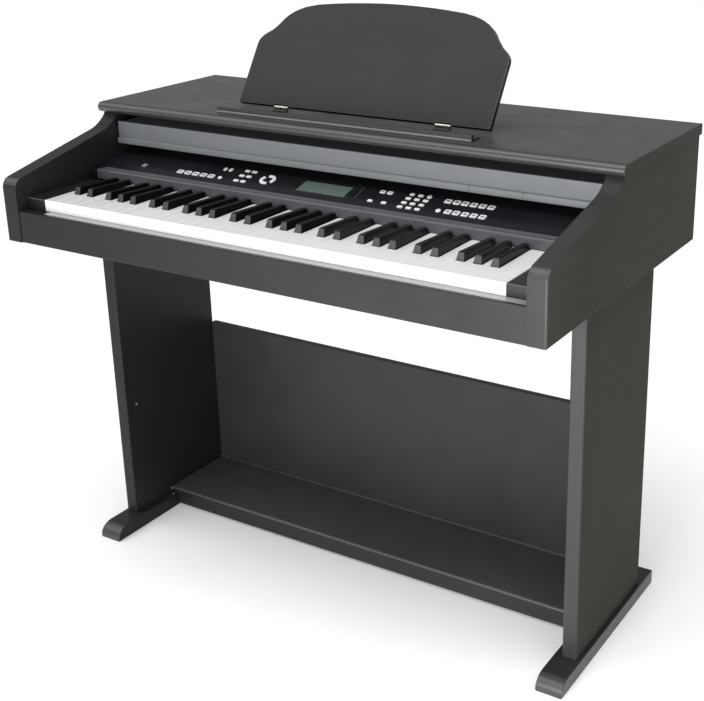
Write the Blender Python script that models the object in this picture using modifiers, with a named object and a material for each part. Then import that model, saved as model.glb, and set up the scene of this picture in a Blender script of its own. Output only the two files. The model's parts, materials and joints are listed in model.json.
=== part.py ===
# Home digital piano: 61 keys, wooden cabinet, fixed board stand, leaning music rest and a
# sliding key cover. Metres, +Z up, +X along the keyboard, +Y to the back.
# The origin is on the floor under the middle of the outline.
import bpy
import bmesh
import math
from mathutils import Matrix, Vector

for ob in list(bpy.data.objects):
    bpy.data.objects.remove(ob, do_unlink=True)

# ---------------------------------------------------------------- driving dimensions
YC = 0.2740                 # half the depth: heights and depths below are measured from the front
GAP = 0.0003                # working gap between touching pieces

KEY_PITCH = 0.0235          # white key pitch
OCTAVE = 7 * KEY_PITCH
N_OCT = 5
KEY_X0 = -18 * KEY_PITCH    # left edge of the lowest key
KEY_GAP = 0.0005            # each side of a white key
KEY_Y0 = 0.0229             # front of the white keys
KEY_Z1 = 0.6876             # top of the white keys
KEY_Z0 = 0.6690             # bottom of the white keys
TAIL_Y = 0.2620             # key pivot line
BLACK_C = (0.0212, 0.0493, 0.0906, 0.1175, 0.1444)   # black key centres in the octave
BLACK_W = 0.0137
BLACK_TOP = 0.0097
BLACK_Y0 = 0.0737
BLACK_Z1 = 0.6993
BLACK_CUT = 0.0078          # half width of the notch between white keys

INNER_X = 0.4636            # inner faces of the side panels
OUTER_X = 0.4931            # outer faces of the side panels
BODY_Z0 = 0.6146            # underside of the cabinet
BODY_Z1 = 0.7886            # top of the side panels under the top board
BODY_Y1 = 0.5480

TOP_X = 0.4965
TOP_Y0 = 0.2300
TOP_Z0 = 0.7889
TOP_Z1 = 0.8064

PANEL_Y = 0.1925            # lower edge of the sloping control panel
PANEL_Z = 0.7032
PANEL_TILT = math.radians(15.0)
PLATE_T = 0.0025

REST_LEAN = math.radians(33.0)
REST_Y = 0.3150             # bottom front edge of the music rest
REST_Z = 0.8155
REST_T = 0.0100
REST_AX_Y = 0.3185          # rest hinge line
REST_AX_Z = 0.8125

COVER_AX_Y = 0.4812         # hinge line between the carriage and the key cover, cover open
COVER_AX_Z = 0.7695

LEG_X0 = 0.4470
LEG_X1 = 0.4708
LEG_Y0 = 0.1800
LEG_Y1 = 0.4345
FOOT_X0 = 0.4330
FOOT_X1 = 0.4773
FOOT_Y0 = 0.1140
FOOT_Y1 = 0.4852
FOOT_H = 0.0247
SHELF_Z1 = 0.0391
MODESTY_Z1 = 0.3350

parts = bpy.data.collections.new("home_digital_piano")
cutters = bpy.data.collections.new("cutters")
bpy.context.scene.collection.children.link(parts)
bpy.context.scene.collection.children.link(cutters)


# ---------------------------------------------------------------- helpers
def material(name, rgb, rough, metal=0.0):
    m = bpy.data.materials.get(name)
    if m is None:
        m = bpy.data.materials.new(name)
        m.use_nodes = True
        b = m.node_tree.nodes["Principled BSDF"]
        b.inputs["Base Color"].default_value = (rgb[0], rgb[1], rgb[2], 1.0)
        b.inputs["Roughness"].default_value = rough
        b.inputs["Metallic"].default_value = metal
    return m


CHAR = (0.060, 0.060, 0.062)
BLACK = (0.012, 0.012, 0.014)
IVORY = (0.85, 0.85, 0.83)
SILVER = (0.26, 0.27, 0.30)
BRASS = (0.78, 0.62, 0.32)
BUTTON = (0.72, 0.72, 0.74)


def new_object(name, mesh, mat, coll=None):
    ob = bpy.data.objects.new(name, mesh)
    (coll or parts).objects.link(ob)
    if mat is not None:
        mesh.materials.clear()
        mesh.materials.append(material(name, *mat))
    return ob


def set_origin(ob, x, y, z):
    o = Vector((x, y - YC, z))
    ob.data.transform(Matrix.Translation(-o))
    ob.location = o
    return ob


def centre_origin(ob):
    cs = [v.co for v in ob.data.vertices]
    lo = Vector([min(c[i] for c in cs) for i in range(3)])
    hi = Vector([max(c[i] for c in cs) for i in range(3)])
    o = (lo + hi) / 2
    ob.data.transform(Matrix.Translation(-o))
    ob.location = o
    return ob


def box_mesh(name, x0, x1, y0, y1, z0, z1):
    me = bpy.data.meshes.new(name)
    bm = bmesh.new()
    m = Matrix.Translation(((x0 + x1) / 2, (y0 + y1) / 2, (z0 + z1) / 2)) @ Matrix.Diagonal(
        (x1 - x0, y1 - y0, z1 - z0, 1.0))
    bmesh.ops.create_cube(bm, size=1.0, matrix=m)
    bm.to_mesh(me)
    bm.free()
    return me


def box(name, x0, x1, y0, y1, z0, z1, mat, bevel=0.0):
    me = box_mesh(name, x0, x1, y0 - YC, y1 - YC, z0, z1)
    ob = centre_origin(new_object(name, me, mat))
    if bevel > 0:
        add_bevel(ob, bevel)
    return ob


def add_bevel(ob, width, angle=50.0):
    b = ob.modifiers.new("edge", 'BEVEL')
    b.width = width
    b.segments = 1
    b.limit_method = 'ANGLE'
    b.angle_limit = math.radians(angle)
    return b


def outline_mesh(name, pts, depth):
    """Closed 2-D curve in local XY extruded from z=0 to z=depth."""
    cu = bpy.data.curves.new(name, 'CURVE')
    cu.dimensions = '2D'
    cu.fill_mode = 'BOTH'
    sp = cu.splines.new('POLY')
    sp.points.add(len(pts) - 1)
    for p, (a, b) in zip(sp.points, pts):
        p.co = (a, b, 0.0, 1.0)
    sp.use_cyclic_u = True
    cu.extrude = depth / 2
    tmp = bpy.data.objects.new(name, cu)
    bpy.context.scene.collection.objects.link(tmp)
    me = bpy.data.meshes.new_from_object(tmp)
    me.name = name
    bpy.data.objects.remove(tmp, do_unlink=True)
    bpy.data.curves.remove(cu)
    bm = bmesh.new()
    bm.from_mesh(me)
    bmesh.ops.remove_doubles(bm, verts=bm.verts, dist=0.00001)
    bmesh.ops.dissolve_limit(bm, angle_limit=0.001, verts=bm.verts, edges=bm.edges)
    bmesh.ops.recalc_face_normals(bm, faces=bm.faces)
    bmesh.ops.translate(bm, verts=bm.verts, vec=(0, 0, depth / 2))
    bm.to_mesh(me)
    bm.free()
    return me


# local (a, b, depth) -> world (depth along x, a = y, b = z)
SIDE = Matrix(((0, 0, 1, 0), (1, 0, 0, 0), (0, 1, 0, 0), (0, 0, 0, 1)))


def side_mesh(name, pts, x0, x1):
    me = outline_mesh(name, [(y - YC, z) for y, z in pts], x1 - x0)
    me.transform(SIDE)
    me.transform(Matrix.Translation((x0, 0, 0)))
    return me


def profile(name, pts, x0, x1, mat, bevel=0.0):
    ob = centre_origin(new_object(name, side_mesh(name, pts, x0, x1), mat))
    if bevel > 0:
        add_bevel(ob, bevel)
    return ob


def join(name, meshes):
    bm = bmesh.new()
    for me in meshes:
        bm.from_mesh(me)
    out = bpy.data.meshes.new(name)
    bm.to_mesh(out)
    bm.free()
    for me in meshes:
        bpy.data.meshes.remove(me)
    return out


def cutter(name, mesh):
    ob = new_object(name, mesh, None, cutters)
    ob.hide_render = True
    ob.display_type = 'WIRE'
    return ob


def boolean(ob, other, op):
    m = ob.modifiers.new(op.lower(), 'BOOLEAN')
    m.operation = op
    m.solver = 'EXACT'
    m.object = other
    return m


def lathe_mesh(name, prof, steps, x, y):
    """Screw-turned solid; the profile starts and ends on the axis, listed top to bottom."""
    me = bpy.data.meshes.new(name)
    bm = bmesh.new()
    vs = [bm.verts.new((r, 0, z)) for r, z in prof]
    for a, b in zip(vs, vs[1:]):
        bm.edges.new((a, b))
    bmesh.ops.spin(bm, geom=bm.verts[:] + bm.edges[:], cent=(0, 0, 0), axis=(0, 0, 1),
                   angle=2 * math.pi, steps=steps, use_duplicate=False)
    bmesh.ops.remove_doubles(bm, verts=bm.verts, dist=0.00001)
    bmesh.ops.dissolve_degenerate(bm, dist=0.000001, edges=bm.edges)
    bmesh.ops.recalc_face_normals(bm, faces=bm.faces)
    bmesh.ops.translate(bm, verts=bm.verts, vec=(x, y - YC, 0))
    bm.to_mesh(me)
    bm.free()
    for p in me.polygons:
        p.use_smooth = True
    return me


# ---------------------------------------------------------------- stand
for side, s in (("left", -1), ("right", 1)):
    a, b = sorted((s * FOOT_X0, s * FOOT_X1))
    profile("foot_" + side,
            [(FOOT_Y0, 0.0), (FOOT_Y1, 0.0), (FOOT_Y1, FOOT_H), (0.1390, FOOT_H),
             (0.1330, 0.0240), (0.1273, 0.0222), (0.1225, 0.0196), (0.1190, 0.0165),
             (0.1160, 0.0125), (FOOT_Y0, 0.0085)], a, b, (CHAR, 0.5))
    a, b = sorted((s * LEG_X0, s * LEG_X1))
    box("leg_" + side, a, b, LEG_Y0, LEG_Y1, FOOT_H + GAP, BODY_Z0 - GAP, (CHAR, 0.5), 0.0012)

shelf_lo = box_mesh("shelf_lo", -0.4325, 0.4325, 0.2758 - YC, 0.2918 - YC, 0.0051, SHELF_Z1)
shelf = new_object("shelf_board", box_mesh("shelf_board", -0.4465, 0.4465, 0.2758 - YC,
                                           0.4302 - YC, FOOT_H + GAP, SHELF_Z1), (CHAR, 0.5))
boolean(shelf, cutter("cut_shelf", shelf_lo), 'UNION')
box("modesty_panel", -0.4465, 0.4465, 0.4305, 0.4425, FOOT_H + GAP, MODESTY_Z1,
    (CHAR, 0.5), 0.001)

# ---------------------------------------------------------------- cabinet
SLOPE = 0.2190
arm_profile = [(0.0, BODY_Z0), (BODY_Y1, BODY_Z0), (BODY_Y1, BODY_Z1), (0.2420, BODY_Z1),
               (0.2402, 0.7852), (0.2372, 0.7815), (0.2328, 0.7775), (0.2270, 0.7732),
               (0.2205, 0.7693), (0.2125, 0.7656), (0.2032, 0.7630),
               (0.0170, 0.7222), (0.0115, 0.7208), (0.0070, 0.7185), (0.0035, 0.7150),
               (0.0012, 0.7105), (0.0, 0.7055)]
for side, s in (("left", -1), ("right", 1)):
    a, b = sorted((s * INNER_X, s * OUTER_X))
    ob = new_object("side_panel_" + side, side_mesh("side_panel_" + side, arm_profile, a, b),
                    (CHAR, 0.5))
    g0, g1 = sorted((s * (INNER_X - 0.002), s * (INNER_X + 0.0044)))
    groove = box_mesh("cut_groove_" + side, g0, g1, 0.2380 - YC, 0.4975 - YC, 0.7655, 0.7735)
    boolean(ob, cutter("cut_groove_" + side, groove), 'DIFFERENCE')

box("front_rail", -INNER_X + GAP, INNER_X - GAP, 0.0012, 0.0218, BODY_Z0 + 0.0002, 0.6685,
    (CHAR, 0.45), 0.001)

bottom = new_object("bottom_board", box_mesh("bottom_board", -INNER_X + GAP, INNER_X - GAP,
                                             0.0222 - YC, 0.5420 - YC, 0.6150, 0.6330),
                    (CHAR, 0.6))
SPK_X, SPK_Y = 0.3000, 0.4150
holes = []
for s in (-1, 1):
    holes.append(lathe_mesh("hole", [(0, 0.64), (0.044, 0.64), (0.044, 0.61), (0, 0.61)], 20,
                            s * SPK_X, SPK_Y))
boolean(bottom, cutter("cut_speaker_holes", join("cut_speaker_holes", holes)), 'DIFFERENCE')

for side, s in (("left", -1), ("right", 1)):
    me = lathe_mesh("speaker_" + side,
                    [(0, 0.6880), (0.0290, 0.6880), (0.0290, 0.6620), (0.0340, 0.6600),
                     (0.0490, 0.6400), (0.0560, 0.6365), (0.0560, 0.6333), (0.0430, 0.6333),
                     (0.0420, 0.6350), (0.0140, 0.6480), (0.0060, 0.6455), (0, 0.6448)], 20,
                    s * SPK_X, SPK_Y)
    centre_origin(new_object("speaker_" + side, me, (BLACK, 0.6)))

back = new_object("back_panel", box_mesh("back_panel", -INNER_X + GAP, INNER_X - GAP,
                                         0.5424 - YC, 0.5474 - YC, 0.6150, 0.7884),
                  (CHAR, 0.7))
boolean(back, cutter("cut_inlet", box_mesh("cut_inlet", 0.3380, 0.3620, 0.5380 - YC,
                                           0.5520 - YC, 0.6480, 0.6680)), 'DIFFERENCE')
inlet = new_object("power_inlet", box_mesh("power_inlet", 0.3384, 0.3616, 0.5200 - YC,
                                           0.5478 - YC, 0.6484, 0.6676), (BLACK, 0.4))
boolean(inlet, cutter("cut_inlet_pocket", box_mesh("cut_inlet_pocket", 0.3415, 0.3585,
                                                   0.5330 - YC, 0.5520 - YC, 0.6515, 0.6645)),
        'DIFFERENCE')

R = (TOP_Z1 - TOP_Z0) / 2
nose = [(TOP_Y0 + R - R * math.cos(math.radians(t)), TOP_Z0 + R - R * math.sin(math.radians(t)))
        for t in (90, 67.5, 45, 22.5, 0, -22.5, -45, -67.5, -90)]
profile("top_board", [(BODY_Y1, TOP_Z1)] + nose[::-1] + [(BODY_Y1, TOP_Z0)], -TOP_X, TOP_X,
        (CHAR, 0.45))

LEDGE_Z0 = TOP_Z1 + GAP
profile("music_ledge", [(0.2586, LEDGE_Z0), (0.2870, LEDGE_Z0), (0.2870, 0.8092), (0.2668, 0.8092),
                        (0.2660, 0.8100), (0.2660, 0.8155), (0.2655, 0.8161), (0.2613, 0.8161),
                        (0.2608, 0.8156), (0.2606, 0.8096), (0.2601, 0.8088), (0.2590, 0.8084),
                        (0.2586, 0.8078)], -0.2490, 0.2400, (CHAR, 0.4))

# ---------------------------------------------------------------- music rest
half = [(0.2450, 0.0), (0.2452, 0.060), (0.2452, 0.108), (0.2442, 0.1150), (0.2410, 0.1210),
        (0.2360, 0.1265), (0.2295, 0.1312), (0.2225, 0.1360), (0.2165, 0.1418),
        (0.2110, 0.1490), (0.2050, 0.1575), (0.1980, 0.1650), (0.1900, 0.1712),
        (0.1800, 0.1768), (0.1700, 0.1810), (0.1590, 0.1843), (0.1410, 0.1880),
        (0.1110, 0.1912), (0.0820, 0.1936), (0.0520, 0.1952), (0.0260, 0.1961)]
NX0, NX1, ND = 0.1425, 0.1725, 0.0026
rest_pts = [(-NX0, 0.0), (-NX0, ND), (-NX1, ND), (-NX1, 0.0)]
right_half = [(0.2410, 0.0), (0.2412, 0.060), (0.2412, 0.1118), (0.2402, 0.1180),
              (0.2370, 0.1235), (0.2325, 0.1285), (0.2270, 0.1330), (0.2213, 0.1374)] + half[9:]
rest_pts += [(-x, h) for x, h in half] + [(0.0, 0.1965)] + [(x, h) for x, h in right_half[::-1]]
rest_pts += [(NX1, 0.0), (NX1, ND), (NX0, ND), (NX0, 0.0)]
me = outline_mesh("music_rest", rest_pts, REST_T)
# local x = x, local y = up the board, local z = out of the front face
cl, sl = math.cos(REST_LEAN), math.sin(REST_LEAN)
me.transform(Matrix(((1, 0, 0, 0), (0, sl, -cl, REST_Y - YC + cl * REST_T),
                     (0, cl, sl, REST_Z - sl * REST_T), (0, 0, 0, 1))))
rest = new_object("music_rest", me, (CHAR, 0.5))
set_origin(rest, 0.0, REST_AX_Y, REST_AX_Z)

KR = 0.0026
barrel = [(REST_AX_Y + KR * math.cos(math.radians(t)), REST_AX_Z + KR * math.sin(math.radians(t)))
          for t in range(-75, 196, 30)]
leaf = [(0.3085, TOP_Z1 + GAP), (REST_AX_Y + 0.0007, TOP_Z1 + GAP)] + barrel + \
       [(REST_AX_Y - 0.0022, 0.8083), (0.3085, 0.8083)]
for side, s in (("left", -1), ("right", 1)):
    a, b = sorted((s * (NX0 + 0.0010), s * (NX1 - 0.0010)))
    profile("rest_hinge_" + side, leaf, a, b, (BRASS, 0.35, 1.0))

# ---------------------------------------------------------------- sliding key cover
box("cover_carriage", -0.4664, 0.4664, 0.4820, 0.4940, 0.7665, 0.7725,
               (CHAR, 0.5))
cover = box("key_cover", -0.4605, 0.4605, 0.2484, 0.4800, 0.7665, 0.7725, (CHAR, 0.45))
cover.data.transform(Matrix.Translation(cover.location - Vector((0, COVER_AX_Y - YC,
                                                                 COVER_AX_Z))))
cover.location = (0, COVER_AX_Y - YC, COVER_AX_Z)
profile("cover_front_board",
                 [(0.2400, 0.7740), (0.2400, 0.7480), (0.2392, 0.7465), (0.2370, 0.7455),
                  (0.2362, 0.7440), (0.2362, 0.7368), (0.2370, 0.7357), (0.2480, 0.7357),
                  (0.2480, 0.7740)], -0.4608, 0.4608, (SILVER, 0.4))

# ---------------------------------------------------------------- control panel casing
PT = Matrix.Translation((0, PANEL_Y - YC, PANEL_Z)) @ Matrix.Rotation(PANEL_TILT, 4, 'X')
T15 = math.tan(PANEL_TILT)
REAR = 0.2740
casing_pts = [(0.1665, 0.6890), (0.1665, 0.7028), (0.1671, 0.7044), (0.1687, 0.7051),
              (PANEL_Y, PANEL_Z), (REAR, PANEL_Z + (REAR - PANEL_Y) * T15),
              (REAR, 0.6334), (REAR - PLATE_T, 0.6334),
              (REAR - PLATE_T, PANEL_Z - 0.00259 + (REAR - PLATE_T - PANEL_Y) * T15),
              (PANEL_Y + 0.0006, PANEL_Z - 0.00243), (0.1702, 0.7022), (0.1690, 0.7010),
              (0.1690, 0.6890)]
casing = new_object("panel_casing", side_mesh("panel_casing", casing_pts, -0.4626, 0.4626),
                    (BLACK, 0.15))


def rect(cx, cy, w, h):
    return ("r", cx, cy, w, h)


def disc(cx, cy, d):
    return ("c", cx, cy, d)


def arc(cx, cy, r0, r1, a0, a1):
    return ("a", cx, cy, r0, r1, a0, a1)


MM = 0.001


def shape_mesh(sh, grow, n0, n1):
    """A button or its hole on the sloping panel, local frame (x, up the slope, out)."""
    k = sh[0]
    if k == "r":
        _, cx, cy, w, h = sh
        me = box_mesh("s", cx * MM - w * MM / 2 - grow, cx * MM + w * MM / 2 + grow,
                      cy * MM - h * MM / 2 - grow, cy * MM + h * MM / 2 + grow, n0, n1)
    elif k == "c":
        _, cx, cy, d = sh
        r = d * MM / 2 + grow
        pts = [(cx * MM + r * math.cos(t * math.pi / 6), cy * MM + r * math.sin(t * math.pi / 6))
               for t in range(12)]
        me = outline_mesh("s", pts, n1 - n0)
        me.transform(Matrix.Translation((0, 0, n0)))
    else:
        _, cx, cy, r0, r1, a0, a1 = sh
        ra, rb = r0 * MM - grow, r1 * MM + grow
        da = grow / ((r0 + r1) / 2 * MM)
        a0, a1 = math.radians(a0) - da, math.radians(a1) + da
        n = 5
        ts = [a0 + (a1 - a0) * i / n for i in range(n + 1)]
        pts = [(cx * MM + rb * math.cos(t), cy * MM + rb * math.sin(t)) for t in ts]
        pts += [(cx * MM + ra * math.cos(t), cy * MM + ra * math.sin(t)) for t in ts[::-1]]
        me = outline_mesh("s", pts, n1 - n0)
        me.transform(Matrix.Translation((0, 0, n0)))
    return me


BANK_X = (211.9, 226.8, 241.3, 256.1, 270.8, 285.6)
PAD_X = (145.6, 161.1, 176.5)
BUTTONS = {
    "button_power": [rect(-379.4, 21.5, 8.5, 9.0)],
    "button_bank_left": [rect(x, 19.3, 11.8, 9.7) for x in (-295.9, -279.1, -262.4, -245.6, -228.8)]
                        + [disc(-209.8, 18.8, 7.6), rect(-219.1, 47.1, 5.2, 8.5),
                           rect(-207.5, 47.1, 5.2, 8.5)],
    "button_bank_pairs": [rect(x, y, 9.6, 5.6) for x in (-174.9, -160.4) for y in (17.8, 34.6, 51.2)],
    "button_ring": [arc(-121.0, 34.1, 8.2, 14.2, a, a + 150.0) for a in (-36.0, 144.0)],
    "button_bank_display": [rect(89.0, 18.3, 8.4, 5.6), rect(114.0, 18.2, 8.4, 5.6),
                            rect(94.5, 48.5, 9.0, 7.6), rect(108.1, 48.5, 9.0, 7.6)],
    "button_keypad": [rect(x, y, 8.8, 5.6) for x in PAD_X for y in (14.1, 27.2, 40.4)]
                     + [rect(PAD_X[0], 53.2, 7.4, 6.0), rect(PAD_X[1], 53.2, 8.8, 5.6),
                        disc(PAD_X[2], 53.2, 8.4)],
    "button_bank_upper": [rect(x, 48.9, 11.0, 10.4) for x in BANK_X],
    "button_bank_lower": [disc(210.4, 19.3, 8.4)] + [rect(x, 19.9, 10.8, 10.4)
                                                     for x in BANK_X[1:]],
}
LCD = (-55.0, 40.2, 16.2, 51.0)     # display window on the panel: x0, x1, up0, up1

hole_meshes = []
for name, shapes in BUTTONS.items():
    xs, ys = [], []
    for sh in shapes:
        if sh[0] == "r":
            xs += [sh[1] - sh[3] / 2, sh[1] + sh[3] / 2]
            ys += [sh[2] - sh[4] / 2, sh[2] + sh[4] / 2]
        elif sh[0] == "c":
            xs += [sh[1] - sh[3] / 2, sh[1] + sh[3] / 2]
            ys += [sh[2] - sh[3] / 2, sh[2] + sh[3] / 2]
        else:
            xs += [sh[1] - sh[4], sh[1] + sh[4]]
            ys += [sh[2] - sh[4], sh[2] + sh[4]]
        hole_meshes.append(shape_mesh(sh, 0.0004, -0.006, 0.004))
    m = 1.2 * MM
    carrier = box_mesh(name, min(xs) * MM - m, max(xs) * MM + m, min(ys) * MM - m,
                       max(ys) * MM + m, -0.0042, -0.0029)
    carrier.transform(PT)
    caps = join(name + "_caps", [shape_mesh(sh, 0.0, -0.0036, 0.0016) for sh in shapes])
    caps.transform(PT)
    ob = new_object(name, carrier, (BUTTON, 0.45))
    boolean(ob, cutter("cut_" + name, caps), 'UNION')

hole_meshes.append(box_mesh("lcd_hole", LCD[0] * MM - 0.0004, LCD[1] * MM + 0.0004,
                            LCD[2] * MM - 0.0004, LCD[3] * MM + 0.0004, -0.006, 0.004))
holes = join("cut_panel_holes", hole_meshes)
holes.transform(PT)
boolean(casing, cutter("cut_panel_holes", holes), 'DIFFERENCE')

me = box_mesh("display_module", LCD[0] * MM, LCD[1] * MM, LCD[2] * MM, LCD[3] * MM, -0.0052,
              -0.0003)
me.transform(PT)
new_object("display_module", me, ((0.10, 0.16, 0.13), 0.2))
me = box_mesh("panel_circuit_board", -0.3950, 0.3050, 0.0050, 0.0760, -0.0082, -0.0066)
me.transform(PT)
new_object("panel_circuit_board", me, ((0.03, 0.12, 0.05), 0.5))

# ---------------------------------------------------------------- keys
KEY_END = KEY_X0 + 36 * KEY_PITCH
for side, s in (("left", -1), ("right", 1)):
    a, b = sorted((s * (KEY_END + GAP), s * (INNER_X - GAP)))
    box("cheek_block_" + side, a, b, KEY_Y0, 0.1660, 0.6334, 0.6870, (BLACK, 0.25), 0.0008)

profile("key_frame", [(0.0300, 0.6334), (0.2710, 0.6334), (0.2710, 0.6850), (0.2640, 0.6850),
                      (0.2640, 0.6354), (0.0640, 0.6354), (0.0640, 0.6500), (0.0600, 0.6500),
                      (0.0600, 0.6354), (0.0300, 0.6354)], -0.4225, 0.4225, (BLACK, 0.6))

# white key rear widths, measured from the octave's left edge
CUTS = (None, 0, 1, None, 2, 3, 4)      # black key to the left of each white key


def white_outline(octave, i, top_c=False):
    x0 = KEY_X0 + octave * OCTAVE
    a, b = x0 + i * KEY_PITCH + KEY_GAP, x0 + (i + 1) * KEY_PITCH - KEY_GAP
    left, right = a, b
    if CUTS[i] is not None and not top_c:
        left = x0 + BLACK_C[CUTS[i]] + BLACK_CUT
    nxt = CUTS[i + 1] if i < 6 else None
    if nxt is not None and not top_c:
        right = x0 + BLACK_C[nxt] - BLACK_CUT
    y1 = BLACK_Y0 - 0.0012 - YC
    y0, y2 = KEY_Y0 - YC, TAIL_Y - YC
    pts = [(a, y0), (b, y0)]
    if right < b:
        pts += [(b, y1), (right, y1)]
    pts += [(right, y2), (left, y2)]
    if left > a:
        pts += [(left, y1), (a, y1)]
    return pts


def white_mesh(octave, i, top_c=False):
    me = outline_mesh("w", white_outline(octave, i, top_c), KEY_Z1 - KEY_Z0)
    me.transform(Matrix.Translation((0, 0, KEY_Z0)))
    return me


def black_mesh(octave, j):
    c = KEY_X0 + octave * OCTAVE + BLACK_C[j]
    pts = [(BLACK_Y0, 0.6700), (TAIL_Y, 0.6700), (TAIL_Y, 0.6855), (0.1655, 0.6855),
           (0.1651, 0.6945), (0.1640, 0.6957), (0.0800, BLACK_Z1), (0.0772, 0.6984),
           (BLACK_Y0, 0.6880)]
    me = side_mesh("b", pts, c - BLACK_W / 2, c + BLACK_W / 2)
    for v in me.vertices:
        if v.co.z > 0.6885:
            v.co.x = c + (v.co.x - c) * BLACK_TOP / BLACK_W
    return me


# comb rails behind the pivot line, one level under the key tails
def comb(name, meshes, ry0, ry1, mat):
    xs = []
    for me in meshes:
        tail = [v.co.x for v in me.vertices if v.co.y > 0.2 - YC]
        xs += [min(tail), max(tail)]
    rail = box_mesh(name, min(xs), max(xs), ry0 - YC, ry1 - YC, 0.6605, 0.6668)
    feet = []
    for me in meshes:
        tail = [v.co.x for v in me.vertices if v.co.y > 0.2 - YC]
        feet.append(box_mesh("f", min(tail) + 0.001, max(tail) - 0.001, ry0 - YC, ry1 - YC,
                             0.6640, 0.6720))
    keys = join(name + "_keys", meshes)
    legs = join(name + "_feet", feet)
    ob = new_object(name, rail, mat)
    boolean(ob, cutter("cut_" + name + "_feet", legs), 'UNION')
    boolean(ob, cutter("cut_" + name, keys), 'UNION')
    set_origin(ob, 0.0, TAIL_Y, 0.6760)
    return ob


MID = 2
WN = "cdefgab"
BN = ("cs", "ds", "fs", "gs", "as")
for o in range(N_OCT):
    if o == MID:
        for i in range(7):
            ob = new_object("key_%s%d" % (WN[i], o + 2), white_mesh(o, i), (IVORY, 0.2))
            set_origin(ob, 0.0, TAIL_Y, 0.6760)
        for j in range(5):
            ob = new_object("key_%s%d" % (BN[j], o + 2), black_mesh(o, j), (BLACK, 0.3))
            set_origin(ob, 0.0, TAIL_Y, 0.6760)
    else:
        first = [white_mesh(o, i) for i in (0, 2, 4, 6)]
        if o == N_OCT - 1:
            first.append(white_mesh(5, 0, True))
        comb("keys_cegb%d" % (o + 2), first, 0.2420, 0.2480, (IVORY, 0.2))
        comb("keys_dfa%d" % (o + 2), [white_mesh(o, i) for i in (1, 3, 5)], 0.2490, 0.2550,
             (IVORY, 0.2))
        comb("keys_sharp%d" % (o + 2), [black_mesh(o, j) for j in range(5)], 0.2560, 0.2618,
             (BLACK, 0.3))
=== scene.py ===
import bpy
import bmesh
import json
import math
from mathutils import Matrix, Vector


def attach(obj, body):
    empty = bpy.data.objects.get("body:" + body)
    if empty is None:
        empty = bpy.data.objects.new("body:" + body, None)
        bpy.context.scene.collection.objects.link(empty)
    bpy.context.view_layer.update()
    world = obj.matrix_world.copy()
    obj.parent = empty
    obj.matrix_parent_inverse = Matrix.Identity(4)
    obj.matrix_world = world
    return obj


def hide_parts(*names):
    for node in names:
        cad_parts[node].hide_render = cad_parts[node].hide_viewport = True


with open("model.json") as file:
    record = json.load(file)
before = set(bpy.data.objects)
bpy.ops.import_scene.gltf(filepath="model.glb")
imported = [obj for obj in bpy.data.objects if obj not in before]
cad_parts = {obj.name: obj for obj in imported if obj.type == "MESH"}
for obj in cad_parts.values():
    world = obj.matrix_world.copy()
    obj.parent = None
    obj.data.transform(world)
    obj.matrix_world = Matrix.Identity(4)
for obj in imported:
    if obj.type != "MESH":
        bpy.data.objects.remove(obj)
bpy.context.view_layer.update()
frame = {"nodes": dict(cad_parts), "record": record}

NODES = frame["nodes"]
BODY = {n: b for b, ns in frame["record"]["behaviour"]["bodies"].items() for n in ns}
YC = 0.2740
LIP_JOINTS = (0.2484, 0.3388)
MM = 0.001
scene = bpy.context.scene
coll = bpy.data.collections.new("home_digital_piano_look")
scene.collection.children.link(coll)

# ------------------------------------------------------------------ camera
AZ, EL, ROLL = math.radians(31.4814), math.radians(19.3107), math.radians(-0.7743)
back_v = Vector((math.sin(AZ) * math.cos(EL), -math.cos(AZ) * math.cos(EL), math.sin(EL)))
right_v = Vector((0, 0, 1)).cross(back_v).normalized()
up_v = back_v.cross(right_v)
cr, sr = math.cos(ROLL), math.sin(ROLL)
r2 = right_v * cr + up_v * sr
u2 = up_v * cr - right_v * sr
cam_data = bpy.data.cameras.new("camera")
cam = bpy.data.objects.new("camera", cam_data)
scene.collection.objects.link(cam)
cam.matrix_world = Matrix(((r2.x, u2.x, back_v.x, 1.12133), (r2.y, u2.y, back_v.y, -1.33101 - YC),
                           (r2.z, u2.z, back_v.z, 1.21660), (0, 0, 0, 1)))
cam_data.sensor_width = 36.0
cam_data.lens = 36.0 * 1242.5 / 704.0
cam_data.shift_x = (352.0 - 420.1) / 704.0
cam_data.shift_y = (286.4 - 350.5) / 704.0
cam_data.clip_start, cam_data.clip_end = 0.05, 60.0
scene.camera = cam
scene.view_settings.view_transform = 'Standard'


# ------------------------------------------------------------------ materials
def nodes_of(name):
    m = bpy.data.materials.new(name)
    m.use_nodes = True
    nt = m.node_tree
    return m, nt, nt.nodes["Principled BSDF"]


def link(nt, a, ao, b, bi):
    nt.links.new(a.outputs[ao], b.inputs[bi])


def coords(nt, scale, rot=(0, 0, 0)):
    tc = nt.nodes.new("ShaderNodeTexCoord")
    mp = nt.nodes.new("ShaderNodeMapping")
    mp.inputs["Scale"].default_value = scale
    mp.inputs["Rotation"].default_value = rot
    link(nt, tc, "Object", mp, "Vector")
    return mp


def noise(nt, vec, scale, detail=4.0, rough=0.55, dist=0.0):
    n = nt.nodes.new("ShaderNodeTexNoise")
    n.inputs["Scale"].default_value = scale
    n.inputs["Detail"].default_value = detail
    n.inputs["Roughness"].default_value = rough
    n.inputs["Distortion"].default_value = dist
    link(nt, vec, "Vector", n, "Vector")
    return n


def ramp(nt, src, out, stops):
    r = nt.nodes.new("ShaderNodeValToRGB")
    els = r.color_ramp.elements
    els[0].position, els[0].color = stops[0][0], (*stops[0][1], 1)
    els[1].position, els[1].color = stops[-1][0], (*stops[-1][1], 1)
    for p, c in stops[1:-1]:
        e = els.new(p)
        e.color = (*c, 1)
    link(nt, src, out, r, "Fac")
    return r


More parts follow.
